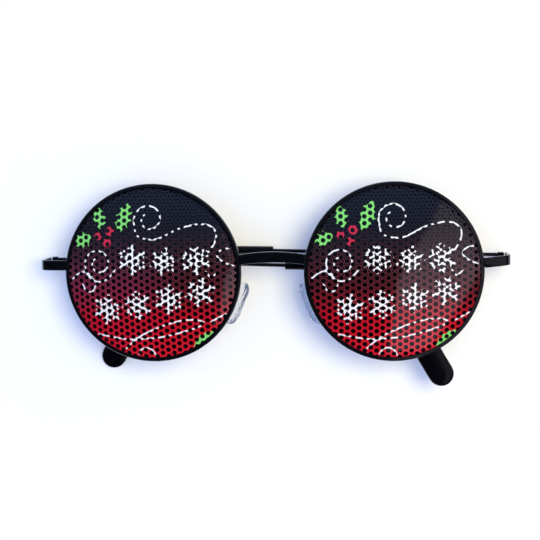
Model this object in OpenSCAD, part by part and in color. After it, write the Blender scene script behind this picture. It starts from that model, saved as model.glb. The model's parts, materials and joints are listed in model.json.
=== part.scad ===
// Round metal sunglasses with perforated printed films on the lenses, lying folded with the lenses up.
// X runs across the face, Y towards the top of the lenses, Z out through the lenses.
// The front is worked out from a datum midway between the two lens fronts, then set on Z = 0 by stand().
// A piece of the left side lies at -X, of the right side at +X.

/* [Rims] */
// Distance between the two lens centres
lens_spacing = 72.6; // [70:0.2:76]
// Outer diameter of each rim
rim_d = 53.5; // [50:0.5:54]
// Width of the rim wire, seen from the front
rim_w = 1.25; // [1.15:0.05:1.8]
// Depth of the rim wire, front to back
rim_depth = 2.2; // [2:0.1:2.8]
// Radius on the outer edges of the rim wire
rim_edge_r = 0.6; // [0.2:0.1:0.8]
// Depth of the groove that holds the lens
groove_depth = 0.55; // [0.4:0.05:0.7]
// Cut that lets the rim open between its closing blocks
rim_gap = 0.1; // [0.1:0.05:0.4]
// Turn of each lens back towards its temple, in degrees
wrap = 3.1; // [0:0.1:5]

/* [Lenses and films] */
// Radius of the lens front
lens_curve_r = 77; // [70:1:100]
// Thickness of the lens
lens_t = 1.4; // [1.2:0.1:1.6]
// Thickness of the printed film
film_t = 0.2; // [0.1:0.05:0.3]
// Gap between the edge of the film and the rim
film_margin = 0.1; // [0.05:0.05:0.5]

/* [Bridge] */
// Height of the bridge bar at its middle
bridge_h = 3.25; // [2.6:0.05:4]
// Height of the middle of the bridge above the lens centres
bridge_y = 4.75; // [4:0.05:6]
// Rise of the upper edge from its ends to the middle
bridge_rise_top = 0.8; // [0.5:0.05:2]
// Rise of the lower edge from its ends to the middle
bridge_rise_low = 0.65; // [0.3:0.05:1.4]
// Thickness of the bridge bar
bridge_t = 1.4; // [1:0.1:1.8]

/* [End pieces] */
// Reach of each end piece beyond its rim
end_reach = 7.7; // [7:0.1:10]
// Height of the end piece strip
strip_h = 3; // [2.4:0.1:3.2]
// Thickness of the end piece strip
strip_t = 0.9; // [0.8:0.05:1.1]
// Height of the strip above the lens centres
strip_y = 2.3; // [1.5:0.05:4]
// Slope of the left strip up towards its outer end, in degrees
slope_left = 1; // [0:0.5:6]
// Slope of the right strip up towards its outer end, in degrees
slope_right = 6; // [0:0.5:6.5]
// Outer radius of the bend in the strip
strip_bend_r = 2.3; // [1.6:0.1:3]
// Distance from the front of the strip back to the hinge axis
hinge_setback = 11.2; // [10.8:0.1:12]

/* [Closing blocks] */
// Length of a closing block, away from the rim
block_l = 2.9; // [2.6:0.1:3.6]
// Height of one closing block
block_h = 1.1; // [1:0.05:1.5]
// Depth of a closing block
block_depth = 2.5; // [2.2:0.1:3.2]
// Diameter of the closing screw
rim_screw_d = 0.9; // [0.8:0.05:1.1]

/* [Hinges] */
// Diameter of a hinge knuckle
knuckle_d = 2.1; // [2:0.05:2.3]
// Height of the front knuckle, between the two temple knuckles
knuckle_h = 0.96; // [0.8:0.02:1.1]
// Height of the whole hinge barrel
barrel_h = 3.1; // [2.9:0.1:3.6]
// Diameter of the hinge screw
hinge_screw_d = 1; // [0.8:0.05:1.2]
// Lean of both hinge axes to the right, in degrees, which crosses the folded temples
lean = 1.35; // [1.2:0.05:1.6]

/* [Temples] */
// Diameter of the temple wire
wire_d = 1.15; // [1:0.05:1.3]
// Straight length of the left temple, from the hinge axis to the ear bend
straight_left = 89.8; // [89:0.2:90.4]
// Straight length of the right temple
straight_right = 90.6; // [90:0.2:91.6]
// Radius of the ear bend
ear_bend_r = 18; // [16:0.5:20]
// Angle that the left ear end drops, in degrees
drop_left = 58; // [57:0.5:60]
// Angle that the right ear end drops, in degrees
drop_right = 63; // [61:0.5:64]
// Length of the ear end after the bend, to the middle of its round end
ear_l = 27; // [25:0.5:28]
// Opening of the folded left temple from square, in degrees
rest_left = -5.05; // [-5.2:0.05:-4.8]
// Opening of the folded right temple from square, in degrees
rest_right = 0.8; // [0.6:0.05:1.2]

/* [Temple tips] */
// Distance from the hinge axis to the mouth of the left tip sleeve
mouth_left = 71.8; // [66:0.2:76]
// Distance from the hinge axis to the mouth of the right tip sleeve
mouth_right = 69.2; // [66:0.2:76]
// Diameter of the sleeve near its mouth
mouth_d = 2.7; // [2.5:0.1:3]
// Diameter of the sleeve along its straight run
sleeve_d = 2.5; // [2.3:0.1:2.6]
// Width of the sleeve where the ear bend ends
neck_w = 3.8; // [3:0.1:4.4]
// Width of the flat ear end
paddle_w = 7.7; // [5:0.1:7.8]
// Thickness of the flat ear end
paddle_t = 2; // [1.8:0.1:2.2]

/* [Nose pads] */
// Distance of each pad centre from the middle of the bridge
pad_x = 11.5; // [10.5:0.1:12.5]
// Distance of the pad centre below the lens centres
pad_drop = 10; // [9:0.1:12]
// Distance of the pad centre behind the film fronts
pad_back = 11.75; // [11:0.05:13]
// Length of a pad
pad_l = 13.6; // [12:0.1:15]
// Width of a pad at its wide lower end
pad_w = 7.6; // [6.8:0.1:8]
// Thickness of a pad
pad_t = 1.7; // [1.4:0.1:2]
// Turn of the pad away from the nose towards the back, in degrees
pad_splay = 30; // [20:1:35]
// Slope of the pad away from the nose towards the bottom, in degrees
pad_flare = 26; // [16:1:28]
// Diameter of the pad arm wire
arm_d = 1; // [0.8:0.05:1.2]
// Diameter of the pad screw
pad_screw_d = 0.66; // [0.6:0.02:0.8]

/* [Hidden] */

// Finishes, as on the real pair
paint = [0.03, 0.03, 0.035];
dark_lens = [0.05, 0.05, 0.06];
film_print = [0.55, 0.08, 0.14];
bright_metal = [0.72, 0.72, 0.7];
clear_pad = [0.85, 0.9, 0.95, 0.4];

// Clearances
running_fit = 0.05;
screw_fit = 0.02;
axial_gap = 0.05;
lens_fit = 0.05;
film_glue = 0.03;
free_gap = 0.1;
brazed = 0.35;
weld = 0.3;
past = 1;

// Rims and lenses
lens_x = lens_spacing / 2;
rim_r = rim_d / 2;
rim_in_r = rim_r - rim_w;
lens_r = rim_in_r + groove_depth - lens_fit;
lens_body_r = rim_in_r - lens_fit;
film_r = rim_in_r - film_margin;
bevel_tip = 0.3;
bevel_root = 0.6;
bevel_overlap = 0.6;
curve_z = -lens_curve_r - film_glue - film_t;
function height_on_curve(r, curve_r) = curve_z + sqrt(curve_r * curve_r - r * r);
rim_z = height_on_curve(lens_r, lens_curve_r - lens_t / 2);
rim_edge_x = lens_x + rim_r * cos(wrap) + rim_z * sin(wrap);
rim_edge_z = rim_z * cos(wrap) - rim_r * sin(wrap);
rim_nasal_z = rim_z * cos(wrap) + rim_r * sin(wrap);

// Bridge
bridge_lap = (rim_w - groove_depth) / 2;
bridge_half = lens_x - rim_r;
bridge_proud = 0.3;
bridge_front_z = rim_nasal_z + rim_depth / 2 + bridge_proud;

// End pieces and closing blocks
strip_proud = 0.7;
strip_front_z = rim_edge_z + strip_proud;
strip_back_z = strip_front_z - strip_t;
strip_x = rim_edge_x + end_reach;
bend_in_r = strip_bend_r - strip_t;
split_y = strip_y;
block_x = rim_edge_x - brazed;
rim_screw_share = 0.55;
rim_screw_x = block_x + block_l * rim_screw_share;
rim_screw_z = strip_back_z - block_depth / 2;
head_to_screw = 1.9;
rim_head_r = rim_screw_d * head_to_screw / 2;
rim_head_h = 0.3;

// Hinges
strip_clear = 0.1;
hinge_rise = -0.3;
knuckle_r = knuckle_d / 2;
hinge_x = strip_x - strip_t - knuckle_r - strip_clear;
function slope(side) = side < 0 ? slope_left : slope_right;
function hinge_y(side) = strip_y + hinge_rise + (hinge_x - block_x) * tan(slope(side));
hinge_z = strip_front_z - hinge_setback;
knuckle_edge = knuckle_h / 2 + axial_gap;
leaf_t = 0.6;
leaf_l = 3.7;
leaf_inset = 0.4;
stop_gap = 0.1;
block_start = 0.35;
block_end = 1.3;
wire_out = 1.5;
block_in = 0.6;
block_out = wire_out + wire_d / 2;
wire_proud = 0.05;
wire_up = barrel_h / 2 - wire_d / 2 + wire_proud;
hinge_head_r = hinge_screw_d * head_to_screw / 2;
hinge_head_h = 0.4;
slot_w = 0.28;
slot_depth = 0.2;

// Temples and tips
function straight(side) = side < 0 ? straight_left : straight_right;
function drop(side) = side < 0 ? drop_left : drop_right;
function rest(side) = side < 0 ? rest_left : rest_right;
function bend_l(side) = ear_bend_r * drop(side) * PI / 180;
function tip_centre(side) = [
    straight(side) + ear_bend_r * sin(drop(side)) + ear_l * cos(drop(side)),
    wire_up - ear_bend_r * (1 - cos(drop(side))) - ear_l * sin(drop(side))
];
function tip_end(side) = straight(side) + bend_l(side) + ear_l + paddle_w / 2;
function mouth(side) = side < 0 ? mouth_left : mouth_right;
wire_start = (block_start + block_end) / 2;
wire_short_of_end = 9;
core_d = wire_d - 0.1;
core_end_d = wire_d - 0.2;
sleeve_sides = 20;
bore_r = wire_d / 2 + 0.1;
bore_past_wire = 0.3;
flare_l = 10;
mouth_round = 0.35;
mouth_step = 0.1;
ear_squareness = 0.85;
end_fullness = 0.7;
full_width_from_end = 12;

// Nose pads
pad_low_r = pad_w / 2;
pad_taper = 0.8;
pad_top_r = pad_low_r * pad_taper;
pad_edge_r = 0.5;
pad_screw_in = 2.4;
lug_half = 0.5;
lug_past_screw = 0.8;
lug_half_h = 0.9;
cheek_t = 0.4;
cheek_half_h = 1;
box_back = 4;
box_front = 1.7;
pad_head_r = 0.7;
pad_head_h = 0.3;
arm_sides = 10;
arm_steps = 4;
arm_below_lens = 3.6;
arm_in_rim = 0.3;
arm_run = 2;
arm_lead = 1.2;
arm_to_nose = 1.6;
arm_low = 1;
arm_back = 3.6;
arm_hook = 1.4;
arm_root_gap = 0.4;
arm_across = [1, 0.3, 0.2];

// Where the folded glasses touch the ground, and the middle of their outline
right_tip_z = hinge_z - wire_out * cos(rest_right) - tip_centre(1)[0] * sin(rest_right) - paddle_t / 2;
left_tip_y = hinge_y(-1) - tip_centre(-1)[0] * cos(rest_left) * sin(lean) + tip_centre(-1)[1] * cos(lean)
    - paddle_w / 2;
lift = -right_tip_z;
shift_y = -(rim_r + left_tip_y) / 2;

$fn = 64;

module stand() translate([0, shift_y, lift]) children();
module on_side(side) mirror([side < 0 ? 1 : 0, 0, 0]) children();
module at_lens() translate([lens_x, 0, 0]) rotate([0, wrap, 0]) children();

// A hinge's own frame: X along the folded temple, Y along the hinge axis, Z out to the front
module at_hinge(side)
    translate([side * hinge_x, hinge_y(side), hinge_z]) rotate([0, 0, -lean]) on_side(-side) children();
module at_temple(side) at_hinge(side) rotate([0, rest(side), 0]) children();
module along_y(h) rotate([-90, 0, 0]) translate([0, 0, -h / 2]) children();

// Rims, with the groove for the lens and the cut between the closing blocks
function round_corner(centre, r, from) = [
    for (i = [0:4]) centre + r * [cos(from + i * 22.5), sin(from + i * 22.5)]
];
rim_corner = rim_depth / 2 - rim_edge_r;
rim_section = concat(
    [[rim_in_r, -rim_depth / 2]],
    round_corner([rim_r - rim_edge_r, -rim_corner], rim_edge_r, -90),
    round_corner([rim_r - rim_edge_r, rim_corner], rim_edge_r, 0),
    [
        [rim_in_r, rim_depth / 2],
        [rim_in_r, bevel_root + free_gap],
        [rim_in_r + groove_depth, bevel_tip + free_gap],
        [rim_in_r + groove_depth, -bevel_tip - free_gap],
        [rim_in_r, -bevel_root - free_gap]
    ]
);

module rim(side) color(paint) stand() on_side(side)
    difference() {
        at_lens() translate([0, 0, rim_z]) rotate_extrude($fn = 144) polygon(rim_section);
        translate([lens_x + rim_in_r / 2, split_y - rim_gap / 2, rim_edge_z - rim_depth - past])
            cube([rim_r, rim_gap, 2 * (rim_depth + past)]);
    }

// Lenses: a bowl of even thickness, with a bevel that sits in the groove
module bowl(r, outer_r, inner_r) translate([0, 0, curve_z])
    difference() {
        intersection() {
            sphere(r = outer_r, $fn = 180);
            cylinder(r = r, h = outer_r + past, $fn = 144);
        }
        sphere(r = inner_r, $fn = 180);
    }

module lens(side) color(dark_lens) stand() on_side(side) at_lens() {
    bowl(lens_body_r, lens_curve_r, lens_curve_r - lens_t);
    translate([0, 0, rim_z]) rotate_extrude($fn = 144) polygon([
        [lens_body_r - bevel_overlap, -bevel_tip],
        [lens_body_r, -bevel_root],
        [lens_r, -bevel_tip],
        [lens_r, bevel_tip],
        [lens_body_r, bevel_root],
        [lens_body_r - bevel_overlap, bevel_tip]
    ]);
}

module film(side) color(film_print) stand() on_side(side) at_lens()
    bowl(film_r, lens_curve_r + film_glue + film_t, lens_curve_r + film_glue);

// Bridge: a flat bar with both edges arched, its ends cut round to sit in the rims short of the grooves
module arch(top_y, rise) {
    arch_r = (bridge_half * bridge_half + rise * rise) / (2 * rise);
    translate([0, top_y - arch_r]) circle(r = arch_r, $fn = 180);
}

module bridge() color(paint) stand() difference() {
    translate([0, 0, bridge_front_z - bridge_t]) linear_extrude(bridge_t) difference() {
        intersection() {
            arch(bridge_y + bridge_h / 2, bridge_rise_top);
            translate([-lens_x, 0]) square([2 * lens_x, bridge_y + bridge_h]);
        }
        arch(bridge_y - bridge_h / 2, bridge_rise_low);
    }
    for (side = [-1, 1]) on_side(side) at_lens() translate([0, 0, rim_z - rim_depth - past])
        cylinder(r = rim_r - bridge_lap, h = 2 * (rim_depth + past), $fn = 144);
}

// End pieces: a strip brazed to the upper side of the rim's cut, bent back to the hinge
module round_sheet(x, z, r, from_x, from_z) {
    translate([from_x, from_z]) square([x - r - from_x, z - from_z]);
    translate([from_x, from_z]) square([x - from_x, z - r - from_z]);
    translate([x - r, z - r]) circle(r = r);
}

module strip_outline() difference() {
    round_sheet(strip_x, strip_front_z, strip_bend_r, block_x, hinge_z + stop_gap);
    round_sheet(strip_x - strip_t, strip_back_z, bend_in_r, block_x - past, hinge_z - past);
}

module strip_edges(side) translate([block_x, strip_y, hinge_z]) rotate([0, 0, slope(side)])
    translate([-past, -strip_h / 2, -past])
        cube([end_reach + 3 * past, strip_h, strip_front_z - hinge_z + 2 * past]);

module end_piece(side) color(paint) stand() on_side(side)
    difference() {
        intersection() {
            translate([0, strip_y, 0]) rotate([90, 0, 0])
                linear_extrude(strip_h + 2 * end_reach, center = true) strip_outline();
            strip_edges(side);
        }
        intersection() {
            at_lens() translate([0, 0, rim_z - rim_depth - past])
                cylinder(r = rim_r + free_gap, h = 2 * (rim_depth + past), $fn = 144);
            translate([lens_x, split_y + rim_gap / 2 - strip_h, strip_back_z - past])
                cube([rim_r + past, strip_h, strip_t + 2 * past]);
        }
    }

// Closing blocks: the upper one carries the thread, the lower one hangs free of the strip
module block(low_y, front_z) translate([block_x, low_y, strip_back_z - block_depth])
    cube([block_l, block_h, block_depth + front_z - strip_back_z]);

module rim_screw_hole(d) translate([rim_screw_x, split_y, rim_screw_z])
    along_y(2 * (block_h + rim_gap + past)) cylinder(d = d, h = 2 * (block_h + rim_gap + past));

module upper_block(side) color(paint) stand() on_side(side) difference() {
    block(split_y + rim_gap / 2, strip_back_z);
    rim_screw_hole(rim_screw_d + 2 * screw_fit);
}

module lower_block(side) color(paint) stand() on_side(side) difference() {
    block(split_y - rim_gap / 2 - block_h, strip_back_z - free_gap);
    rim_screw_hole(rim_screw_d + 2 * running_fit);
}

module rim_screw(side) color(bright_metal) stand() on_side(side)
    translate([rim_screw_x, split_y - rim_gap / 2 - block_h, rim_screw_z]) rotate([-90, 0, 0])
        difference() {
            union() {
                cylinder(d = rim_screw_d, h = 2 * block_h + rim_gap);
                translate([0, 0, -rim_head_h]) cylinder(r = rim_head_r, h = rim_head_h);
            }
            translate([-rim_head_r, -slot_w / 2, -rim_head_h - past])
                cube([2 * rim_head_r, slot_w, past + rim_head_h / 2]);
        }

// Hinges: one knuckle on the strip between two on the temple
module knuckle(from, h) along_y(0) translate([0, 0, from]) cylinder(r = knuckle_r, h = h);

module hinge_bore(d) along_y(barrel_h + 2 * past) cylinder(d = d, h = barrel_h + 2 * past);

module front_hinge(side) color(paint) stand() at_hinge(side) difference() {
    union() {
        knuckle(-knuckle_h / 2, knuckle_h);
        translate([-knuckle_r - strip_clear, -knuckle_h / 2, 0])
            cube([knuckle_r + strip_clear, knuckle_h, knuckle_r + 2 * strip_clear]);
        translate([-knuckle_r - strip_clear - free_gap, leaf_inset - strip_h / 2, knuckle_r + strip_clear])
            cube([leaf_t + free_gap, strip_h - 2 * leaf_inset, leaf_l]);
    }
    hinge_bore(hinge_screw_d + 2 * running_fit);
}

module temple_hinge(side) color(paint) stand() at_temple(side) difference() {
    union() {
        knuckle(knuckle_edge, barrel_h / 2 - knuckle_edge);
        knuckle(-barrel_h / 2, barrel_h / 2 - knuckle_edge);
        translate([block_start, -barrel_h / 2, -block_out])
            cube([block_end - block_start, barrel_h, block_out - block_in]);
    }
    along_y(2 * knuckle_edge) cylinder(r = knuckle_r + strip_clear, h = 2 * knuckle_edge);
    hinge_bore(hinge_screw_d + 2 * screw_fit);
}

module hinge_screw(side) color(bright_metal) stand() at_temple(side) difference() {
    union() {
        along_y(barrel_h) cylinder(d = hinge_screw_d, h = barrel_h);
        along_y(0) translate([0, 0, barrel_h / 2]) cylinder(r = hinge_head_r, h = hinge_head_h);
    }
    translate([-hinge_head_r, barrel_h / 2 + hinge_head_h - slot_depth, -slot_w / 2])
        cube([2 * hinge_head_r, slot_depth + past, slot_w]);
}

// Temples: a wire that runs straight, then thinner round the ear bend, and ends inside the tip
module temple_wire(side) color(paint) stand() at_temple(side) translate([0, wire_up, -wire_out]) {
    rotate([0, 90, 0]) translate([0, 0, wire_start])
        cylinder(d = wire_d, h = straight(side) + weld - wire_start, $fn = 32);
    translate([straight(side), -ear_bend_r, 0]) {
        rotate([0, 0, 90 - drop(side)])
            rotate_extrude(angle = drop(side), $fn = 144)
                translate([ear_bend_r, 0]) circle(d = core_d, $fn = 32);
        rotate([0, 0, -drop(side)]) translate([-weld, ear_bend_r, 0]) rotate([0, 90, 0])
            cylinder(d = core_end_d, h = ear_l + paddle_w / 2 + weld - wire_short_of_end, $fn = 32);
    }
}

// A place at distance s along the temple, and the direction of the temple there as a drop angle
function drop_at(side, s) = drop(side) * min(1, max(0, (s - straight(side)) / bend_l(side)));
function place_at(side, s) =
    let (a = drop_at(side, s), tail = max(0, s - straight(side) - bend_l(side)))
    [
        min(s, straight(side)) + ear_bend_r * sin(a) + tail * cos(a),
        wire_up - ear_bend_r * (1 - cos(a)) - tail * sin(a)
    ];

// Half width and half thickness of the sleeve at distance s, and how square its section is
function sleeve_half(side, s) =
    let (
        start = mouth(side),
        neck = straight(side) + bend_l(side),
        wide = tip_end(side) - full_width_from_end,
        round_end = [
            [start, mouth_d / 2 - mouth_round],
            [start + mouth_step, mouth_d / 2 - mouth_step],
            [start + mouth_round, mouth_d / 2],
            [start + flare_l, sleeve_d / 2],
            [straight(side), sleeve_d / 2]
        ]
    )
    [
        lookup(s, concat(round_end, [[neck, neck_w / 2], [wide, paddle_w / 2]])),
        lookup(s, concat(round_end, [[wide, paddle_t / 2]]))
    ];
function signed_power(v, e) = sign(v) * pow(abs(v), e);
function sleeve_ring(side, s, half, square) = [
    for (i = [0:sleeve_sides - 1])
        let (
            a = 360 * i / sleeve_sides,
            across = half[0] * signed_power(cos(a), square),
            p = place_at(side, s),
            d = drop_at(side, s)
        )
        [p[0] + across * sin(d), p[1] + across * cos(d), -wire_out + half[1] * signed_power(sin(a), square)]
];

// The sleeve's outside, its round end, and the bore that the wire fills
function sleeve_stops(side) = concat(
    [mouth(side), mouth(side) + mouth_step, mouth(side) + mouth_round, mouth(side) + flare_l],
    [for (i = [0:9]) straight(side) + bend_l(side) * i / 10],
    [for (i = [0:8]) straight(side) + bend_l(side) + ear_l * i / 8]
);
function end_shrink(t) = sqrt(1 - t * t);
function outside_rings(side) = concat(
    [
        for (s = sleeve_stops(side))
            sleeve_ring(side, s, sleeve_half(side, s), s > straight(side) ? ear_squareness : 1)
    ],
    [
        for (t = [0.3, 0.55, 0.75, 0.88, 0.96, 0.995])
            let (
                s = tip_end(side) - paddle_w / 2 * (1 - t),
                half = sleeve_half(side, s),
                shrink = end_shrink(t)
            )
            sleeve_ring(side, s, [half[0] * shrink, half[1] * pow(shrink, end_fullness)], ear_squareness)
    ]
);
function bore_stops(side) = concat(
    [mouth(side)],
    [for (i = [0:10]) straight(side) + bend_l(side) * i / 10],
    [tip_end(side) - wire_short_of_end + bore_past_wire]
);
function bore_rings(side) = [for (s = bore_stops(side)) sleeve_ring(side, s, [bore_r, bore_r], 1)];
function tube_faces(rings, start, turned) = [
    for (r = [0:rings - 2], i = [0:sleeve_sides - 1])
        let (
            j = (i + 1) % sleeve_sides,
            a = start + r * sleeve_sides + i,
            b = start + r * sleeve_sides + j,
            c = start + (r + 1) * sleeve_sides + j,
            d = start + (r + 1) * sleeve_sides + i
        )
        turned ? [a, d, c, b] : [a, b, c, d]
];

module temple_tip(side) color(paint) stand() at_temple(side) {
    outside = outside_rings(side);
    bore = bore_rings(side);
    outside_n = len(outside) * sleeve_sides;
    bore_n = len(bore) * sleeve_sides;
    polyhedron(
        points = [for (ring = concat(outside, bore), p = ring) p],
        faces = concat(
            tube_faces(len(outside), 0, true),
            tube_faces(len(bore), outside_n, false),
            [
                for (i = [0:sleeve_sides - 1])
                    let (j = (i + 1) % sleeve_sides) [i, j, outside_n + j, outside_n + i]
            ],
            [[for (i = [0:sleeve_sides - 1]) outside_n - 1 - i]],
            [[for (i = [0:sleeve_sides - 1]) outside_n + bore_n - sleeve_sides + i]]
        ),
        convexity = 6
    );
}

// Nose pads, each rocking on a screw across its box
module at_pad() translate([-pad_x, -pad_drop, -pad_back]) rotate([0, pad_splay, -pad_flare]) children();
module across_pad(h) translate([-pad_screw_in, 0, -h / 2]) children();

module pad_round(r, y) translate([0, y, 0]) rotate([0, 90, 0]) {
    cylinder(r = r - pad_edge_r, h = pad_t, center = true, $fn = 32);
    cylinder(r = r, h = pad_t - 2 * pad_edge_r, center = true, $fn = 32);
}

module nose_pad(side) color(clear_pad) stand() on_side(-side) at_pad() {
    hull() {
        pad_round(pad_top_r, pad_l / 2 - pad_top_r);
        pad_round(pad_low_r, pad_low_r - pad_l / 2);
    }
    difference() {
        translate([-pad_screw_in - lug_past_screw, -lug_half_h, -lug_half])
            cube([pad_screw_in + lug_past_screw - pad_t / 4, 2 * lug_half_h, 2 * lug_half]);
        across_pad(2 * past) cylinder(d = pad_screw_d + 2 * running_fit, h = 2 * past, $fn = 24);
    }
}

module pad_box(side) color(bright_metal) stand() on_side(-side) at_pad() difference() {
    translate([-box_back, -cheek_half_h, -lug_half - free_gap - cheek_t])
        cube([box_back - box_front, 2 * cheek_half_h, 2 * (lug_half + free_gap + cheek_t)]);
    translate([-box_back + cheek_t, -cheek_half_h - past, -lug_half - free_gap])
        cube([box_back, 2 * (cheek_half_h + past), 2 * (lug_half + free_gap)]);
    across_pad(4 * past) cylinder(d = pad_screw_d + 2 * screw_fit, h = 4 * past, $fn = 24);
}

module pad_screw(side) color(bright_metal) stand() on_side(-side) at_pad() {
    half = lug_half + free_gap + cheek_t;
    across_pad(2 * half) cylinder(d = pad_screw_d, h = 2 * half, $fn = 24);
    translate([-pad_screw_in, 0, half]) difference() {
        cylinder(r = pad_head_r, h = pad_head_h, $fn = 32);
        translate([-pad_head_r, -slot_w / 2, pad_head_h - slot_depth]) cube([2 * pad_head_r, slot_w, past]);
    }
}

// Pad arms: a wire from the back of the rim that turns round behind it to the box
function turn(p) =
    let (q = [
        p[0] * cos(pad_splay) + p[2] * sin(pad_splay),
        p[1],
        p[2] * cos(pad_splay) - p[0] * sin(pad_splay)
    ])
    [q[0] * cos(pad_flare) + q[1] * sin(pad_flare), q[1] * cos(pad_flare) - q[0] * sin(pad_flare), q[2]];
function from_pad(p) = [-pad_x, -pad_drop, -pad_back] + turn(p);
arm_root = [-lens_x + rim_r - rim_w / 2, -arm_below_lens, rim_nasal_z - rim_depth / 2 + arm_in_rim];
arm_far = arm_root + [-arm_to_nose - arm_run, -arm_low - arm_to_nose, -arm_back - arm_root_gap];
arm_route = [
    arm_root + [0, 0, arm_lead],
    arm_root,
    arm_root + [-arm_root_gap, 0, -arm_run],
    arm_root + [-arm_to_nose, -arm_low, -arm_back],
    arm_far,
    from_pad([-box_back - arm_hook, arm_root_gap, 0]),
    from_pad([-box_back + cheek_t / 2, 0, 0]),
    from_pad([-box_back + arm_run, 0, 0])
];
function smooth(a, b, c, d, t) =
    0.5 * (2 * b + (c - a) * t + (2 * a - 5 * b + 4 * c - d) * t * t + (3 * b - a - 3 * c + d) * t * t * t);
arm_line = [
    for (k = [1:len(arm_route) - 3], t = [0:arm_steps - 1])
        smooth(arm_route[k - 1], arm_route[k], arm_route[k + 1], arm_route[k + 2], t / arm_steps),
    arm_route[len(arm_route) - 2]
];
function unit(v) = v / norm(v);
function arm_ring(k) =
    let (
        last = len(arm_line) - 1,
        along = unit(arm_line[min(k + 1, last)] - arm_line[max(k - 1, 0)]),
        side_way = unit(cross(along, arm_across)),
        up_way = cross(along, side_way)
    )
    [
        for (i = [0:arm_sides - 1])
            let (a = 360 * i / arm_sides)
            arm_line[k] + arm_d / 2 * (cos(a) * side_way + sin(a) * up_way)
    ];

module pad_arm(side) color(paint) stand() on_side(-side) {
    rings = len(arm_line);
    polyhedron(
        points = [for (k = [0:rings - 1], p = arm_ring(k)) p],
        faces = concat(
            [
                for (r = [0:rings - 2], i = [0:arm_sides - 1])
                    let (j = (i + 1) % arm_sides)
                    [r * arm_sides + i, (r + 1) * arm_sides + i, (r + 1) * arm_sides + j, r * arm_sides + j]
            ],
            [[for (i = [0:arm_sides - 1]) i]],
            [[for (i = [0:arm_sides - 1]) rings * arm_sides - 1 - i]]
        ),
        convexity = 6
    );
}

bridge();
rim(-1);  // rim_left
rim(1);  // rim_right
lens(-1);  // lens_left
lens(1);  // lens_right
film(-1);  // film_left
film(1);  // film_right
end_piece(-1);  // end_piece_left
end_piece(1);  // end_piece_right
upper_block(-1);  // upper_block_left
upper_block(1);  // upper_block_right
lower_block(-1);  // lower_block_left
lower_block(1);  // lower_block_right
rim_screw(-1);  // rim_screw_left
rim_screw(1);  // rim_screw_right
front_hinge(-1);  // front_hinge_left
front_hinge(1);  // front_hinge_right
temple_hinge(-1);  // temple_hinge_left
temple_hinge(1);  // temple_hinge_right
hinge_screw(-1);  // hinge_screw_left
hinge_screw(1);  // hinge_screw_right
temple_wire(-1);  // temple_wire_left
temple_wire(1);  // temple_wire_right
temple_tip(-1);  // temple_tip_left
temple_tip(1);  // temple_tip_right
pad_arm(-1);  // pad_arm_left
pad_arm(1);  // pad_arm_right
pad_box(-1);  // pad_box_left
pad_box(1);  // pad_box_right
pad_screw(-1);  // pad_screw_left
pad_screw(1);  // pad_screw_right
nose_pad(-1);  // nose_pad_left
nose_pad(1);  // nose_pad_right
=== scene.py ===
"""Looks for a pair of round metal sunglasses with perforated printed films, lying folded, lenses up.

The CAD frame is kept: X across the face, Y towards the top of the lenses, Z up from the table, in
metres. A name that ends in MM holds millimetres. The films are worked out in millimetres from the
centre of their lens.
"""

import json
import math

import bmesh
import bpy
import numpy as np
from mathutils import Matrix


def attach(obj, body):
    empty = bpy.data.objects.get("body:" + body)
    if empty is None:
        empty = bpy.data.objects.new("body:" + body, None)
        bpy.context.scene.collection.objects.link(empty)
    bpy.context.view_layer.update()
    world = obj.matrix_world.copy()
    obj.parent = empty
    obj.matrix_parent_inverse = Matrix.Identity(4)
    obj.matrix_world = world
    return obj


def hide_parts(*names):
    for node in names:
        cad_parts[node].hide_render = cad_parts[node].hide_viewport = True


MM = 0.001
SIDES = {"left": -1, "right": 1}

# Where the lenses are, as in the CAD model
LENS_X_MM = 36.3
WRAP_DEG = 3.1
FRONT_R_MM = 77.23
FILM_R_MM = 25.4
FILM_T_MM = 0.2
DATUM_MM = np.array([0.0, 4.061, 21.595])

# The perforation: a hexagonal lattice of round holes, its columns upright
HOLE_PITCH_MM = 2.0
HOLE_R_MM = 0.71
HOLE_SIDES = 12
LATTICE_START_MM = {"left": (-0.70, 0.04), "right": (-0.21, -0.32)}
LATTICE_TURN_DEG = {"left": 0.26, "right": 0.0}

# The photograph's camera
CAMERA_AT_MM = (28.985, 44.877, 424.428)
CAMERA_TURN_DEG = (-5.6512, 4.1035, -0.7475)
FOCAL_MM = 92.0
SENSOR_MM = 36.0
CLIP_START_MM = 10

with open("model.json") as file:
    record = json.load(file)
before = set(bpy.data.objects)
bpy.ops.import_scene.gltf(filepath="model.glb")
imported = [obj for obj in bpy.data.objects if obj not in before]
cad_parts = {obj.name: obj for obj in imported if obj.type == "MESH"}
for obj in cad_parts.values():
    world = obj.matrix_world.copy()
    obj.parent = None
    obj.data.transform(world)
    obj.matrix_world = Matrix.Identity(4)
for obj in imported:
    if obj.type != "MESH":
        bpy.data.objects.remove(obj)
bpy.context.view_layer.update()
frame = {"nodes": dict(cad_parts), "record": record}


def srgb(red, green, blue):
    """The linear colour of three screen values from 0 to 255."""
    screen = np.array([red, green, blue]) / 255
    linear = np.where(screen <= 0.04045, screen / 12.92, ((screen + 0.055) / 1.055) ** 2.4)
    return (*linear.tolist(), 1.0)


# Shader building


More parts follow.
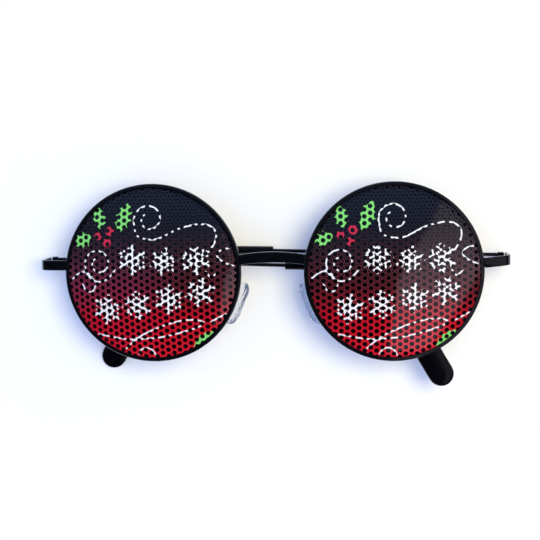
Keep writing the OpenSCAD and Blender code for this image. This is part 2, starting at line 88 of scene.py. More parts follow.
class Wire:
    """A shader value. Each operator on it adds one Math node."""

    def __init__(self, graph, socket):
        self.graph = graph
        self.socket = socket

    def math(self, operation, *others, clamp=False):
        values = dict(enumerate((self, *others)))
        settings = {"operation": operation, "use_clamp": clamp}
        return self.graph.node("ShaderNodeMath", settings, values)

    def __add__(self, other):
        return self.math("ADD", other)

    def __sub__(self, other):
        return self.math("SUBTRACT", other)

    def __mul__(self, other):
        return self.math("MULTIPLY", other)

    def __truediv__(self, other):
        return self.math("DIVIDE", other)

    def between(self, zero_at, one_at):
        """0 at one value and past it, 1 at the other and past it, and even in between."""
        return (self - zero_at).math("DIVIDE", one_at - zero_at, clamp=True)

    def spread(self, at_zero, at_one):
        """A value from 0 to 1 spread over another range."""
        return self * (at_one - at_zero) + at_zero


class Graph:
    """A node tree. node() adds one node with its settings first and then its socket values."""

    def __init__(self, tree):
        self.tree = tree

    def put(self, node, values):
        for key, value in values.items():
            if isinstance(value, Wire):
                self.tree.links.new(value.socket, node.inputs[key])
            else:
                node.inputs[key].default_value = value

    def node(self, kind, settings=None, values=None, output=0):
        made = self.tree.nodes.new(kind)
        for key, value in (settings or {}).items():
            setattr(made, key, value)
        self.put(made, values or {})
        return Wire(self, made.outputs[output])

    def mix(self, factor, low, high):
        values = {0: factor, 6: low, 7: high}
        return self.node("ShaderNodeMix", {"data_type": "RGBA"}, values, output=2)

    def ramp(self, factor, stops):
        colours = self.node("ShaderNodeValToRGB", {}, {"Fac": factor})
        elements = colours.socket.node.color_ramp.elements
        while len(elements) < len(stops):
            elements.new(1.0)
        for element, (position, colour) in zip(elements, stops):
            element.position = position
            element.color = colour
        return colours

    def place(self, kind):
        return self.node("ShaderNodeTexCoord", output=kind)

    def along(self, axis, kind="Object"):
        return self.node("ShaderNodeSeparateXYZ", {}, {0: self.place(kind)}, output=axis)

    def noise(self, scale, detail=3.0, stretch=(1.0, 1.0, 1.0)):
        place = self.node("ShaderNodeMapping", {}, {"Vector": self.place("Object"), "Scale": stretch})
        return self.node("ShaderNodeTexNoise", {}, {"Vector": place, "Scale": scale, "Detail": detail})

    def attribute(self, name):
        return self.node("ShaderNodeAttribute", {"attribute_name": name}, output="Fac")

    def bump(self, height, strength, depth_mm):
        values = {"Height": height, "Strength": strength, "Distance": depth_mm * MM}
        return self.node("ShaderNodeBump", {}, values)

    def ray(self, kind):
        return self.node("ShaderNodeLightPath", output=kind)


class Finish(Graph):
    """A material made with its Principled shader."""

    def __init__(self, name, **values):
        self.material = bpy.data.materials.new(name)
        self.material.use_nodes = True
        super().__init__(self.material.node_tree)
        self.surface = self.tree.nodes["Principled BSDF"]
        self.surface_gets(**values)

    def surface_gets(self, **values):
        self.put(self.surface, {key.replace("_", " "): value for key, value in values.items()})


# The shape of the printed film

# Spare cells past its edge, the decimals to which two points are one, and where its faces turn sharp
SPARE_CELLS = 4
MERGE_DECIMALS = 4
SHARP_FILM_DEG = 40


def turned_back(side, x, y, z):
    """A lens's own coordinates turned about Y by the wrap, with the temple side backwards."""
    turn = math.radians(WRAP_DEG) * side
    across = x * math.cos(turn) + z * math.sin(turn)
    up = z * math.cos(turn) - x * math.sin(turn)
    return np.stack([across, y, up], axis=-1)


def height_from_centre(x, y):
    """A sphere of FRONT_R_MM: z squared is the radius squared less x squared and y squared."""
    return np.sqrt(FRONT_R_MM**2 - x**2 - y**2)


def on_film(side, x, y):
    """Points of a lens front: the sphere with its top at the lens centre, turned back by the wrap."""
    centre = np.array([side * LENS_X_MM, 0.0, 0.0])
    return centre + turned_back(side, x, y, height_from_centre(x, y) - FRONT_R_MM)


def film_outward(side, x, y):
    """Unit normals of the lens front: from the sphere's centre to each point, turned like the lens."""
    return turned_back(side, x, y, height_from_centre(x, y)) / FRONT_R_MM


def hole_centres(name):
    """A hexagonal lattice: columns a pitch times cos 30 apart, every second one half a pitch higher."""
    reach = int(FILM_R_MM / HOLE_PITCH_MM) + SPARE_CELLS
    column, row = np.meshgrid(np.arange(-reach, reach + 1), np.arange(-reach, reach + 1))
    x = column.ravel() * HOLE_PITCH_MM * math.cos(math.radians(30))
    y = (row.ravel() + 0.5 * (column.ravel() % 2)) * HOLE_PITCH_MM
    turn = math.radians(LATTICE_TURN_DEG[name])
    start_x, start_y = LATTICE_START_MM[name]
    centre_x = start_x + x * math.cos(turn) - y * math.sin(turn)
    centre_y = start_y + x * math.sin(turn) + y * math.cos(turn)
    near = np.hypot(centre_x, centre_y) < FILM_R_MM + HOLE_PITCH_MM
    return np.stack([centre_x[near], centre_y[near]], axis=1)


def cell_rings(name):
    """Two rings round each hole: the hole, and the hexagon that its cell shares with the next ones.

    The hexagon's distance at an angle is half the pitch over the cosine of the angle from its
    nearest flat.
    """
    angle = np.arange(HOLE_SIDES) * 2 * math.pi / HOLE_SIDES
    from_flat = (angle + math.pi / 6) % (math.pi / 3) - math.pi / 6
    turned = angle + math.pi / 6 + math.radians(LATTICE_TURN_DEG[name])
    hexagon = HOLE_PITCH_MM / 2 / np.cos(from_flat)
    radius = np.stack([np.full(HOLE_SIDES, HOLE_R_MM), hexagon])
    ring = radius[..., None] * np.stack([np.cos(turned), np.sin(turned)], axis=-1)
    return hole_centres(name)[:, None, None, :] + ring


def film_sheet(name):
    """The flat film as (points, quads): every cell's two rings, pulled in to the film's edge.

    Quads that end up on the edge with all their corners have no area and are dropped.
    """
    rings = cell_rings(name)
    points = rings.reshape(-1, 2)
    reach = np.hypot(points[:, 0], points[:, 1])
    beyond = reach > FILM_R_MM
    points[beyond] *= (FILM_R_MM / reach[beyond])[:, None]
    index = np.arange(len(points)).reshape(rings.shape[:3])
    hole, border = index[:, 0], index[:, 1]
    corners = [hole, border, np.roll(border, -1, axis=1), np.roll(hole, -1, axis=1)]
    quads = np.stack(corners, axis=-1).reshape(-1, 4)
    quads = quads[~beyond[quads].all(axis=1)]
    kept, merged = np.unique(np.round(points, MERGE_DECIMALS), axis=0, return_inverse=True)
    quads = merged.reshape(-1)[quads]
    ordered = np.sort(quads, axis=1)
    distinct = (ordered[:, 1:] != ordered[:, :-1]).all(axis=1)
    used, packed = np.unique(quads[distinct], return_inverse=True)
    return kept[used], packed.reshape(-1, 4)


def open_edges(quads):
    """The directed edges that no neighbouring quad shares."""
    edges = np.concatenate([quads[:, [side, (side + 1) % 4]] for side in range(4)])
    size = quads.max() + 1
    keys = edges[:, 0] * size + edges[:, 1]
    back = edges[:, 1] * size + edges[:, 0]
    return edges[~np.isin(keys, back)]


def from_hole(name, points):
    """The distance of each point to the nearest hole centre."""
    away = np.full(len(points), np.inf)
    for centre in hole_centres(name):
        away = np.minimum(away, np.hypot(points[:, 0] - centre[0], points[:, 1] - centre[1]))
    return away


# Drawing the motifs

LINE_STEPS = 8
SPIRAL_POINTS = 60

# A holly leaf: points along a scallop, how blunt its curves are, and how far tips and hollows reach
SCALLOP_POINTS = 8
LEAF_BLUNTNESS = 0.6
LEAF_TIP = 1.34
LEAF_HOLLOW = 0.62


def smooth_line(controls):
    """A Catmull-Rom curve through the control points."""
    knots = np.array(controls, float)
    knots = np.concatenate([2 * knots[:1] - knots[1:2], knots, 2 * knots[-1:] - knots[-2:-1]])
    a, b, c, d = (knots[i : len(knots) - 3 + i, None, :] for i in range(4))
    t = np.linspace(0, 1, LINE_STEPS, endpoint=False)[None, :, None]
    square = 2 * a - 5 * b + 4 * c - d
    cube = 3 * b - a - 3 * c + d
    curve = 0.5 * (2 * b + (c - a) * t + square * t**2 + cube * t**3)
    return np.concatenate([curve.reshape(-1, 2), knots[-2:-1]])


def spiral(centre, inner, outer, turns, end_deg):
    """An Archimedean spiral: its radius grows evenly from inner to outer and ends at end_deg."""
    t = np.linspace(0, 1, SPIRAL_POINTS)
    angle = math.radians(end_deg) - (1 - t) * turns * 2 * math.pi
    radius = inner + (outer - inner) * t
    return np.array(centre) + radius[:, None] * np.stack([np.cos(angle), np.sin(angle)], axis=1)


def distance_to_lines(points, lines):
    """The distance of each point to the nearest piece of any line, by projecting onto each piece.

    The second result is the same distance, negative on the right-hand side of that piece.
    """
    starts = np.concatenate([line[:-1] for line in lines])
    spans = np.concatenate([line[1:] - line[:-1] for line in lines])
    nearest = np.full(len(points), np.inf)
    signed = np.full(len(points), np.inf)
    for start, span in zip(starts, spans):
        off = points - start
        share = np.clip(off @ span / (span @ span), 0, 1)
        away = off - share[:, None] * span
        distance = np.hypot(away[:, 0], away[:, 1])
        turn = span[0] * off[:, 1] - span[1] * off[:, 0]
        closer = distance < nearest
        nearest = np.where(closer, distance, nearest)
        signed = np.where(closer, np.copysign(distance, turn), signed)
    return nearest, signed


def inside(points, outline):
    """Even-odd test of points in a closed outline."""
    x, y = points[:, 0, None], points[:, 1, None]
    ax, ay = outline[:, 0], outline[:, 1]
    bx, by = np.roll(ax, -1), np.roll(ay, -1)
    crosses = (ay > y) != (by > y)
    rise = np.where(by == ay, 1.0, by - ay)
    hits = crosses & (x < ax + (y - ay) * (bx - ax) / rise)
    return hits.sum(axis=1) % 2 == 1


def outside_distance(points, outline):
    """The distance to a closed outline, negative inside it."""
    closed = np.concatenate([outline, outline[:1]])
    distance = distance_to_lines(points, [closed])[0]
    return np.where(inside(points, outline), -distance, distance)


def holly_leaf(centre, length, width, tilt_deg, spikes=4):
    """A pointed oval whose width swells in scallops between sharp tips along both edges."""
    t = np.linspace(0, 1, SCALLOP_POINTS * spikes + 1)
    oval = np.sin(math.pi * t) ** LEAF_BLUNTNESS
    scallop = np.abs(np.sin(math.pi * spikes * t)) ** LEAF_BLUNTNESS
    half = width / 2 * oval * (LEAF_TIP - LEAF_HOLLOW * scallop)
    along = length * (t - 0.5)
    right = np.stack([half, along], axis=1)
    left = np.stack([-half, along], axis=1)[::-1]
    outline = np.concatenate([right, left[1:-1]])
    tilt = math.radians(tilt_deg)
    turn = np.array([[math.cos(tilt), math.sin(tilt)], [-math.sin(tilt), math.cos(tilt)]])
    return np.array(centre) + outline @ turn


# The motifs, in millimetres from the lens centre. A berry is its centre and radius

HOLLY_LEAVES = [
    holly_leaf((-15.6, 16.6), 6.4, 3.9, 10),
    holly_leaf((-7.9, 16.8), 9.2, 4.3, -20),
    holly_leaf((-20.8, 10.0), 5.8, 4.2, -62, spikes=3),
    holly_leaf((15.3, -19.9), 7.6, 3.2, -50),
]
BERRIES = [(-15.9, 11.3, 1.15), (-12.2, 12.8, 1.35), (-13.0, 9.4, 1.25)]
TOP_SCROLL = [
    spiral((-0.2, 16.3), 1.9, 4.7, 1.2, 205),
    smooth_line(
        [(-4.5, 14.3), (-4.0, 12.0), (-2.6, 11.0), (0.2, 10.4)]
        + [(3.4, 10.9), (9.0, 13.6), (14.2, 14.8)]
    ),
    smooth_line([(14.2, 14.8), (17.5, 14.4), (19.6, 12.3), (19.3, 9.4), (17.6, 6.6)]),
]
LEFT_SCROLL = [
    spiral((-15.8, 3.2), 1.6, 4.4, 1.2, 190),
    smooth_line([(-20.1, 2.4), (-19.3, -0.3), (-16.6, -2.2), (-13.3, -1.6), (-10.6, 1.2)]),
    smooth_line([(-24.4, -1.6), (-22.4, 0.0), (-20.2, 0.6), (-18.0, -0.6)]),
    smooth_line([(-20.9, -3.3), (-20.0, -5.0), (-18.0, -5.3), (-16.9, -3.6)]),
]
RIGHT_SCROLL = [
    smooth_line([(23.5, 7.6), (20.9, 6.9), (20.0, 5.2), (21.9, 3.4), (24.4, 2.3)]),
    smooth_line([(16.8, 0.6), (18.1, -0.9), (19.8, 0.3)]),
]
LOW_SCROLL = [
    smooth_line(
        [(-8.2, -22.6), (-6.0, -20.5), (-2.7, -18.2), (3.1, -15.6)]
        + [(8.6, -14.0), (13.0, -13.7), (15.6, -14.4)]
    ),
    smooth_line(
        [(15.6, -14.4), (14.0, -15.9), (8.6, -17.6), (3.1, -18.9)]
        + [(-1.3, -19.4), (-7.8, -19.7), (-16.6, -18.4)]
    ),
    smooth_line([(17.9, -14.3), (22.0, -12.2)]),
    smooth_line([(-4.4, -24.2), (-3.6, -22.9), (-2.0, -22.4), (-0.3, -23.0), (0.6, -24.6)]),
]
FINE_LINES = TOP_SCROLL + LEFT_SCROLL + RIGHT_SCROLL + LOW_SCROLL
FINE_HALF_MM = 0.23

# Snow crystals: centre x and y, arm length, tilt in degrees, and where on an arm the outer twigs start
CRYSTALS = np.array(
    [
        (-5.2, 4.4, 4.5, 90, 0.62),
        (4.3, 3.9, 4.2, 78, 0.52),
        (13.7, 4.2, 4.4, 96, 0.66),
        (-13.4, -10.6, 4.6, 82, 0.56),
        (-3.9, -9.2, 4.3, 96, 0.66),
        (5.6, -7.4, 4.5, 86, 0.58),
        (15.0, -5.4, 4.4, 78, 0.64),
    ]
)

# The strokes of a crystal, as shares of its arm length
ARM_HALF = 0.078
TWIG_HALF = 0.058
OUTER_TWIG = 0.325
INNER_TWIG = 0.273
INNER_START = 0.5
CRYSTAL_END = 1.03


def crystal_places(points):
    """Each point in the frame of its nearest snow crystal: turned upright, in arm lengths."""
    off = points[:, None, :] - CRYSTALS[None, :, :2]
    away = np.hypot(off[..., 0], off[..., 1]) / CRYSTALS[:, 2]
    own = away.argmin(axis=1)
    rows = np.arange(len(points))
    x, y = off[rows, own].T / CRYSTALS[own, 2]
    tilt = np.radians(CRYSTALS[own, 3])
    return {
        "crystal_along": x * np.cos(tilt) + y * np.sin(tilt),
        "crystal_across": y * np.cos(tilt) - x * np.sin(tilt),
        "crystal_away": away[rows, own],
        "crystal_twig": CRYSTALS[own, 4],
    }


def closed_film(side, flat, quads):
    """Points and faces of a closed film: a front sheet, the same sheet further in, and walls."""
    x, y = flat.T
    front = on_film(side, x, y)
    back = front - FILM_T_MM * film_outward(side, x, y)
    count = len(flat)
    start, end = open_edges(quads).T
    walls = np.stack([start, start + count, end + count, end], axis=1)
    faces = np.concatenate([quads, quads[:, ::-1] + count, walls])
    return (np.concatenate([front, back]) + DATUM_MM) * MM, faces


def print_marks(name, flat):
    """What the print's shader reads at each point of the flat film."""
    x, y = flat.T
    line_near, line_side = distance_to_lines(flat, FINE_LINES)
    return {
        "line_near_mm": line_near,
        "line_side_mm": line_side,
        "leaf_ink": np.min([outside_distance(flat, outline) for outline in HOLLY_LEAVES], axis=0),
        "berry_ink": np.min([np.hypot(x - bx, y - by) - radius for bx, by, radius in BERRIES], axis=0),
        "height_mm": y,
        "from_hole_mm": from_hole(name, flat),
        **crystal_places(flat),
    }


def printed_film(name):
    """A film with its holes and its print, in place of the plain film of the CAD model."""
    flat, quads = film_sheet(name)
    points, faces = closed_film(SIDES[name], flat, quads)
    mesh = bpy.data.meshes.new(f"printed_film_{name}")
    mesh.from_pydata(points.tolist(), [], faces.tolist())
    mesh.validate()
    mesh.shade_smooth()
    mesh.set_sharp_from_angle(angle=math.radians(SHARP_FILM_DEG))
    for label, values in print_marks(name, flat).items():
        layer = mesh.attributes.new(label, "FLOAT", "POINT")
        layer.data.foreach_set("value", np.tile(values, 2).astype(np.float32))
    film = bpy.data.objects.new(f"printed_film_{name}", mesh)
    bpy.context.scene.collection.objects.link(film)
    mesh.materials.append(film_print)
    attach(film, "front")
    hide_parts(f"film_{name}")


# The print. Its colours go up the lens from the lowest point, 0, to the highest, 1

PRINT_R_MM = 25.0
GRAIN_DRIFT = 0.03
FADE = [
    (0.02, srgb(212, 15, 36)),
    (0.24, srgb(182, 12, 29)),
    (0.34, srgb(122, 9, 22)),
    (0.42, srgb(78, 8, 16)),
    (0.50, srgb(50, 7, 14)),
    (0.60, srgb(30, 8, 15)),
    (0.70, srgb(15, 11, 20)),
    (0.82, srgb(11, 13, 24)),
    (0.98, srgb(11, 16, 28)),
]
PLUM_FADE = [
    (0.02, srgb(212, 15, 36)),
    (0.24, srgb(182, 16, 38)),
    (0.34, srgb(138, 25, 50)),
    (0.42, srgb(118, 27, 56)),
    (0.50, srgb(88, 25, 50)),
    (0.60, srgb(50, 22, 40)),
    (0.72, srgb(18, 15, 26)),
    (0.98, srgb(11, 16, 28)),
]

# Where the plum sets in and where it is full
PLUM_FROM_X_MM = -26.0
PLUM_TO_X_MM = -42.0

# How high the lower, middle and upper parts reach
LOWER_END = 0.4167
MIDDLE_AT = 0.52
MIDDLE_REACH = 0.26
UPPER_START = 0.3182
UPPER_FULL = 0.7727

# Round each hole: painted shade at its edge, a ring of painted highlight, and then painted shade in the
# valleys between the rings
HOLE_SHADE_MM = 0.17
HIGHLIGHT_RING_R_MM = 0.82
HIGHLIGHT_RING_HALF_MM = 0.14
VALLEY_START_MM = 0.84
VALLEY_FULL_MM = 0.93

# How strong each painted shade and the painted highlight are, and how dull the valleys are
HOLE_SHADE_AMOUNT = 0.75
RING_HIGHLIGHT_LOW = 0.02
RING_HIGHLIGHT_MIDDLE = 0.24
VALLEY_SHADE_AMOUNT = 0.8
VALLEY_DULLNESS = 0.1
VALLEY_DULLNESS_TOP = 0.95

# How soft the edges of the motifs are, in millimetres and in arm lengths
INK_EDGE_MM = 0.10
CRYSTAL_EDGE = 0.025


def line_ink(finish):
    """How far a point is outside the fine lines, in mm. The signed distance keeps their edges crisp."""
    beside = finish.attribute("line_side_mm").math("ABSOLUTE") - FINE_HALF_MM
    return beside.math("MAXIMUM", finish.attribute("line_near_mm") - 2 * FINE_HALF_MM)


def crystal_ink(finish):
    """How far a point is outside the snow crystals, in arm lengths.

    The angle is folded into one sixth of a turn, so that one arm with two pairs of twigs at 60
    degrees gives all six. A twig is the band round a slanting line, cut to its length.
    """
    along = finish.attribute("crystal_along")
    across = finish.attribute("crystal_across")
    sixth = math.pi / 3
    angle = across.math("ARCTAN2", along)
    folded = ((angle / sixth + 0.5).math("FRACT") - 0.5) * sixth
    reach = (along * along + across * across).math("SQRT")
    out = reach * folded.math("COSINE")
    beside = (reach * folded.math("SINE")).math("ABSOLUTE")
    ink = (beside - ARM_HALF).math("MAXIMUM", out - 1.0)
    sine, cosine = math.sin(sixth), math.cos(sixth)
    outer_start = finish.attribute("crystal_twig")
    for start, length in ((outer_start, OUTER_TWIG), (outer_start * INNER_START, INNER_TWIG)):
        past = out - start
        band = (past * sine - beside * cosine).math("ABSOLUTE") - TWIG_HALF
        end = past * cosine + beside * sine - length
        ink = ink.math("MINIMUM", band.math("MAXIMUM", end))
    return ink.math("MAXIMUM", finish.attribute("crystal_away") - CRYSTAL_END)


def make_film_print():
    """Ink over a satin film: a tall fade from slate to red, with the motifs cut at distance zero. Under
    the motifs, painted shade and a painted highlight ring lie round each hole.
    """
    finish = Finish("film_print", Specular_IOR_Level=0.0, Coat_Roughness=0.12, Coat_IOR=2.0)
    grain = finish.noise(scale=1400.0)
    height = finish.attribute("height_mm")
    from_low = (height + PRINT_R_MM) / (2 * PRINT_R_MM) + (grain - 0.5) * GRAIN_DRIFT
    lower = from_low.between(LOWER_END, 0.0)
    middle = (from_low - MIDDLE_AT).math("ABSOLUTE").between(MIDDLE_REACH, 0.0)
    upper = from_low.between(UPPER_START, UPPER_FULL)
    away = finish.attribute("from_hole_mm")
    # Painted shade: a dark red ring at each hole's edge, in the lower part of the fade
    hole_shade = away.between(HOLE_R_MM + HOLE_SHADE_MM, HOLE_R_MM)
    # Painted highlight: a pale pink ring round each hole, strongest in the middle of the fade
    ring_highlight = (away - HIGHLIGHT_RING_R_MM).math("ABSOLUTE").between(HIGHLIGHT_RING_HALF_MM, 0.0)
    # Painted shade: near black in the valleys between the rings, in the upper part of the fade, where
    # the coat is also thinner
    shaded_valley = away.between(VALLEY_START_MM, VALLEY_FULL_MM)
    plum = (finish.along("X") / MM).between(PLUM_FROM_X_MM, PLUM_TO_X_MM)
    green = finish.mix(grain, srgb(96, 196, 78), srgb(150, 226, 128))
    white = srgb(240, 240, 240)
    layers = (
        # Painted shade at the holes' edges
        (hole_shade * lower * HOLE_SHADE_AMOUNT, srgb(72, 2, 10)),
        # Painted highlight ring round each hole
        (ring_highlight * middle.spread(RING_HIGHLIGHT_LOW, RING_HIGHLIGHT_MIDDLE), srgb(206, 116, 132)),
        # Painted shade in the valleys between the rings
        (shaded_valley * upper * VALLEY_SHADE_AMOUNT, srgb(2, 3, 8)),
        (finish.attribute("berry_ink").between(INK_EDGE_MM / 2, -INK_EDGE_MM / 2), srgb(196, 40, 66)),
        (finish.attribute("leaf_ink").between(INK_EDGE_MM / 2, -INK_EDGE_MM / 2), green),
        (line_ink(finish).between(INK_EDGE_MM / 2, -INK_EDGE_MM / 2), white),
        (crystal_ink(finish).between(CRYSTAL_EDGE / 2, -CRYSTAL_EDGE / 2), white),
    )
    colour = finish.mix(plum, finish.ramp(from_low, FADE), finish.ramp(from_low, PLUM_FADE))
    for amount, ink in layers:
        colour = finish.mix(amount, colour, ink)
    finish.surface_gets(
        Base_Color=colour,
        Roughness=grain.spread(0.5, 0.6),
        Coat_Weight=(shaded_valley * upper.spread(VALLEY_DULLNESS, VALLEY_DULLNESS_TOP)).spread(1.0, 0.0),
        Normal=finish.bump(grain, strength=0.10, depth_mm=0.04),
    )
    return finish.material


# Finishes


def make_black_paint():
    """Stoved gloss black on metal: a faint orange peel, and a little dullness in patches."""
    finish = Finish("black_paint", Specular_IOR_Level=0.2, Coat_Roughness=0.06, Coat_IOR=1.5)
    peel = finish.noise(scale=900.0, detail=2.0)
    patches = finish.noise(scale=160.0, detail=4.0)
    finish.surface_gets(
        Base_Color=finish.mix(patches, srgb(3, 3, 6), srgb(8, 8, 13)),
        Roughness=patches.spread(0.16, 0.34),
        Coat_Weight=patches.spread(0.6, 0.3),
        Normal=finish.bump(peel, strength=0.15, depth_mm=0.03),
    )
    return finish.material


def make_black_sleeve():
    """Moulded black plastic with a high gloss and soft handling marks."""
    finish = Finish("black_sleeve", IOR=1.5, Specular_IOR_Level=0.22)
    marks = finish.noise(scale=420.0, detail=4.0, stretch=(1.0, 1.0, 0.4))
    finish.surface_gets(
        Base_Color=finish.mix(marks, srgb(3, 3, 6), srgb(8, 8, 13)),
        Roughness=marks.spread(0.12, 0.26),
        Normal=finish.bump(marks, strength=0.08, depth_mm=0.03),
    )
    return finish.material


def make_dark_lens():
    """Dark tinted plastic, nearly black, polished, with a trace of smear."""
    finish = Finish("dark_lens", IOR=1.6)
    smear = finish.noise(scale=90.0, stretch=(1.0, 3.0, 1.0))
    finish.surface_gets(
        Base_Color=finish.mix(smear, srgb(1, 1, 2), srgb(5, 4, 6)),
        Roughness=smear.spread(0.04, 0.09),
    )
    return finish.material


def make_screw_steel():
    """Bright turned steel with fine rings of tool marks."""
    finish = Finish("screw_steel", Metallic=1.0)
    marks = finish.noise(scale=3000.0, detail=2.0, stretch=(1.0, 0.15, 1.0))
    finish.surface_gets(
        Base_Color=finish.mix(marks, srgb(168, 168, 172), srgb(214, 214, 216)),
        Roughness=marks.spread(0.2, 0.38),
        Normal=finish.bump(marks, strength=0.1, depth_mm=0.02),
    )
    return finish.material


def make_clear_pad():
    """Clear soft plastic with a trace of haze: pale, with painted shade in cool violet where it turns
    away.
    """
    finish = Finish("clear_pad", IOR=1.18, Transmission_Weight=1.0)
    haze = finish.noise(scale=260.0)
    facing = finish.node("ShaderNodeLayerWeight", {}, {"Blend": 0.35}, output="Facing")
    # Painted shade: cool violet where the surface turns from the view, in place of the darker refraction
    # at the pad's edges
    turned_away_shade = facing.between(zero_at=0.4444, one_at=1.0)
    pale = finish.mix(haze, srgb(246, 249, 255), srgb(252, 253, 255))
    finish.surface_gets(
        Base_Color=finish.mix(turned_away_shade, pale, srgb(120, 116, 196)),
        Roughness=haze.spread(0.03, 0.09),
    )
    return finish.material


film_print = make_film_print()
FINISHES = {
    "black_paint": make_black_paint(),
    "black_sleeve": make_black_sleeve(),
    "dark_lens": make_dark_lens(),
    "screw_steel": make_screw_steel(),
    "clear_pad": make_clear_pad(),
}


# CAD nodes, each shown by a copy with merged corners and softened edges

# The finish of each family of nodes, and the width of its softened edges in millimetres
FAMILIES = {
    "bridge": ("black_paint", 0.38),
    "rim": ("black_paint", 0.28),
    "end_piece": ("black_paint", 0.22),
    "upper_block": ("black_paint", 0.12),
    "lower_block": ("black_paint", 0.12),
    "front_hinge": ("black_paint", 0.08),
    "temple_hinge": ("black_paint", 0.08),
    "temple_wire": ("black_paint", 0.0),
    "pad_arm": ("black_paint", 0.0),
    "temple_tip": ("black_sleeve", 0.0),
    "lens": ("dark_lens", 0.0),
    "rim_screw": ("screw_steel", 0.05),
    "hinge_screw": ("black_paint", 0.06),
    "pad_screw": ("screw_steel", 0.05),
    "pad_box": ("screw_steel", 0.08),
    "nose_pad": ("clear_pad", 0.3),
}

# Corners closer than this are one, faces that turn less are one, and edges that turn more are sharp
SAME_CORNER_MM = 0.002
FLAT_DEG = 0.5
SHARP_DEG = 34
EDGE_STEPS = 3


def merged_copy(name):
    """A copy of a CAD node's mesh with its doubled corners merged and its flat faces joined up."""
    work = bmesh.new()
    work.from_mesh(frame["nodes"][name].data)
    bmesh.ops.remove_doubles(work, verts=work.verts, dist=SAME_CORNER_MM * MM)
    flat = math.radians(FLAT_DEG)
    bmesh.ops.dissolve_limit(work, angle_limit=flat, verts=work.verts, edges=work.edges)
    mesh = bpy.data.meshes.new(f"{name}_shown")
    work.to_mesh(mesh)
    work.free()
    mesh.shade_smooth()
    mesh.set_sharp_from_angle(angle=math.radians(SHARP_DEG))
    return mesh


def shown_node(name, body):
    """The shown form of a CAD node, with its edges rounded where its family says so."""
    family = name.removesuffix("_left").removesuffix("_right")
    finish, edge_mm = FAMILIES[family]
    mesh = merged_copy(name)
    shown = bpy.data.objects.new(f"{name}_shown", mesh)
    bpy.context.scene.collection.objects.link(shown)
    mesh.materials.clear()
    mesh.materials.append(FINISHES[finish])
    if edge_mm:
        bevel = shown.modifiers.new("soft_edges", "BEVEL")
        bevel.width = edge_mm * MM
        bevel.segments = EDGE_STEPS
        bevel.limit_method = "ANGLE"
        bevel.angle_limit = math.radians(SHARP_DEG)
        bevel.harden_normals = True
    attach(shown, body)
    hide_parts(name)


for body, members in frame["record"]["behaviour"]["bodies"].items():
    for member in members:
        if not member.startswith("film_"):
            shown_node(member, body)
for name in SIDES:
    printed_film(name)


# Table, light and camera

TABLE_SIDE_MM = 3000

# The table is solid near the glasses, and clears up between two distances outside their footprint
FOOTPRINT_MM = (62.0, 20.0)
CLEAR_FROM_MM = 14.0
CLEAR_TO_MM = 40.0
NEAR_CLEARNESS = 0.10
FAR_CLEARNESS = 0.94

# Sky light from all round. Reflections see the room's colours by the Y of their direction instead
ROOM_STRENGTH = 0.42
SKY_COLOUR = (0.44, 0.60, 1.08)
ROOM_FROM = -0.2
ROOM_TO = 0.6
ROOM_COLOURS = [
    (0.0, (0.01, 0.01, 0.02, 1)),
    (0.12, (0.03, 0.03, 0.045, 1)),
    (0.29, (0.15, 0.17, 0.23, 1)),
    (0.5, (0.27, 0.40, 0.67, 1)),
    (0.88, (0.40, 0.64, 1.12, 1)),
]

# A warm lamp at the upper right
LAMP_AT_MM = (250, 130, 700)
LAMP_SIDE_MM = 340
LAMP_WATTS = 4.2
LAMP_COLOUR = (1.0, 0.88, 0.44)

# The outline of a bright pane above and to the right, seen from above
WINDOW_MM = [
    (50, -250),
    (56, -185),
    (68, -41),
    (98, 13),
    (177, 131),
    (330, 330),
    (560, 330),
    (420, 60),
    (294, -53),
    (207, -164),
    (170, -250),
]
WINDOW_HEIGHT_MM = 238
WINDOW_COLOUR = (0.95, 0.86, 1.0, 1)
WINDOW_STRENGTH = 0.62


def make_table():
    """A white table. Away from the glasses the camera sees through it, to temples swung below it."""
    bpy.ops.mesh.primitive_plane_add(size=TABLE_SIDE_MM * MM)
    table = bpy.context.object
    table.name = "table"
    finish = Finish("table_white", Base_Color=srgb(250, 251, 255), Roughness=0.9, Specular_IOR_Level=0.1)
    x_mm = finish.along("X") / MM
    y_mm = finish.along("Y") / MM - DATUM_MM[1]
    beside = (x_mm.math("ABSOLUTE") - FOOTPRINT_MM[0]).math("MAXIMUM", 0.0)
    beyond = (y_mm.math("ABSOLUTE") - FOOTPRINT_MM[1]).math("MAXIMUM", 0.0)
    outside = (beside * beside + beyond * beyond).math("SQRT")
    clearness = outside.between(CLEAR_FROM_MM, CLEAR_TO_MM).spread(NEAR_CLEARNESS, FAR_CLEARNESS)
    factor = finish.ray("Is Camera Ray") * clearness
    white = Wire(finish, finish.surface.outputs[0])
    clear = finish.node("ShaderNodeBsdfTransparent")
    blend = finish.node("ShaderNodeMixShader", {}, {0: factor, 1: white, 2: clear})
    finish.put(finish.tree.nodes["Material Output"], {"Surface": blend})
    table.data.materials.append(finish.material)


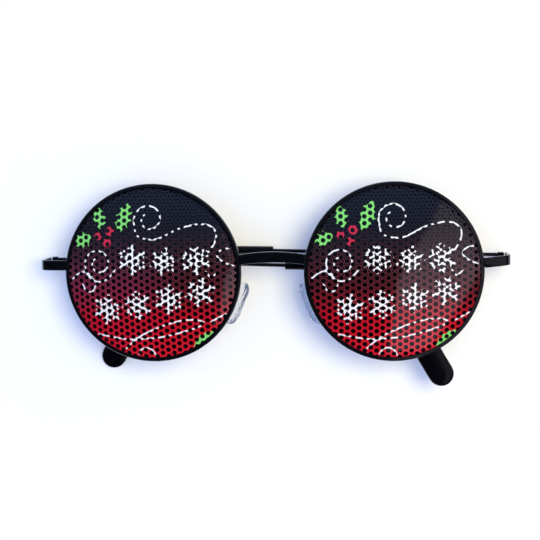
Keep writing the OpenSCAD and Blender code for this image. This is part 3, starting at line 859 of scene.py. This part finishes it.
def make_world():
    """Blue sky light from all round. It is white to the camera and through the clear pads.

    Reflections see a room that brightens towards +Y.
    """
    world = bpy.data.worlds.new("room")
    bpy.context.scene.world = world
    world.use_nodes = True
    graph = Graph(world.node_tree)
    room = graph.ramp(graph.along("Y", "Generated").between(ROOM_FROM, ROOM_TO), ROOM_COLOURS)
    sky = (*(part / ROOM_STRENGTH for part in SKY_COLOUR), 1)
    white = (1 / ROOM_STRENGTH, 1 / ROOM_STRENGTH, 1 / ROOM_STRENGTH, 1)
    lit = graph.mix(graph.ray("Is Glossy Ray"), sky, room)
    seen = graph.ray("Is Camera Ray").math("MAXIMUM", graph.ray("Is Transmission Ray"))
    values = {"Color": graph.mix(seen, lit, white), "Strength": ROOM_STRENGTH}
    graph.put(graph.tree.nodes["Background"], values)


def make_lamp():
    """A soft square lamp that faces the glasses. Neither the camera nor a reflection sees it."""
    data = bpy.data.lights.new("lamp", "AREA")
    data.shape = "SQUARE"
    data.size = LAMP_SIDE_MM * MM
    data.energy = LAMP_WATTS
    data.color = LAMP_COLOUR
    lamp = bpy.data.objects.new("lamp", data)
    bpy.context.scene.collection.objects.link(lamp)
    lamp.location = np.array(LAMP_AT_MM) * MM
    backward = np.array(LAMP_AT_MM) / np.linalg.norm(LAMP_AT_MM)
    across = np.cross((0.0, 1.0, 0.0), backward)
    across /= np.linalg.norm(across)
    turn = np.stack([across, np.cross(backward, across), backward], axis=1)
    lamp.rotation_euler = Matrix(turn.tolist()).to_euler()
    lamp.visible_camera = False
    lamp.visible_glossy = False


def make_window():
    """A bright pane. The lenses mirror its slanting edge as a soft patch."""
    corners = [(x * MM, (y + DATUM_MM[1]) * MM, WINDOW_HEIGHT_MM * MM) for x, y in WINDOW_MM]
    mesh = bpy.data.meshes.new("window")
    mesh.from_pydata(corners, [], [list(range(len(corners)))])
    pane = bpy.data.objects.new("window", mesh)
    bpy.context.scene.collection.objects.link(pane)
    finish = Finish("window_glow", Base_Color=(0, 0, 0, 1))
    finish.surface_gets(Emission_Color=WINDOW_COLOUR, Emission_Strength=WINDOW_STRENGTH)
    mesh.materials.append(finish.material)
    pane.visible_camera = False
    pane.visible_shadow = False


def make_camera():
    """The photograph's camera: nearly straight above, a little to the right and beyond the top."""
    data = bpy.data.cameras.new("camera")
    data.lens = FOCAL_MM
    data.sensor_width = SENSOR_MM
    data.clip_start = CLIP_START_MM * MM
    camera = bpy.data.objects.new("camera", data)
    bpy.context.scene.collection.objects.link(camera)
    camera.location = np.array(CAMERA_AT_MM) * MM
    camera.rotation_euler = tuple(math.radians(angle) for angle in CAMERA_TURN_DEG)
    bpy.context.scene.camera = camera


make_table()
make_world()
make_window()
make_lamp()
make_camera()
bpy.context.scene.view_settings.view_transform = "Standard"
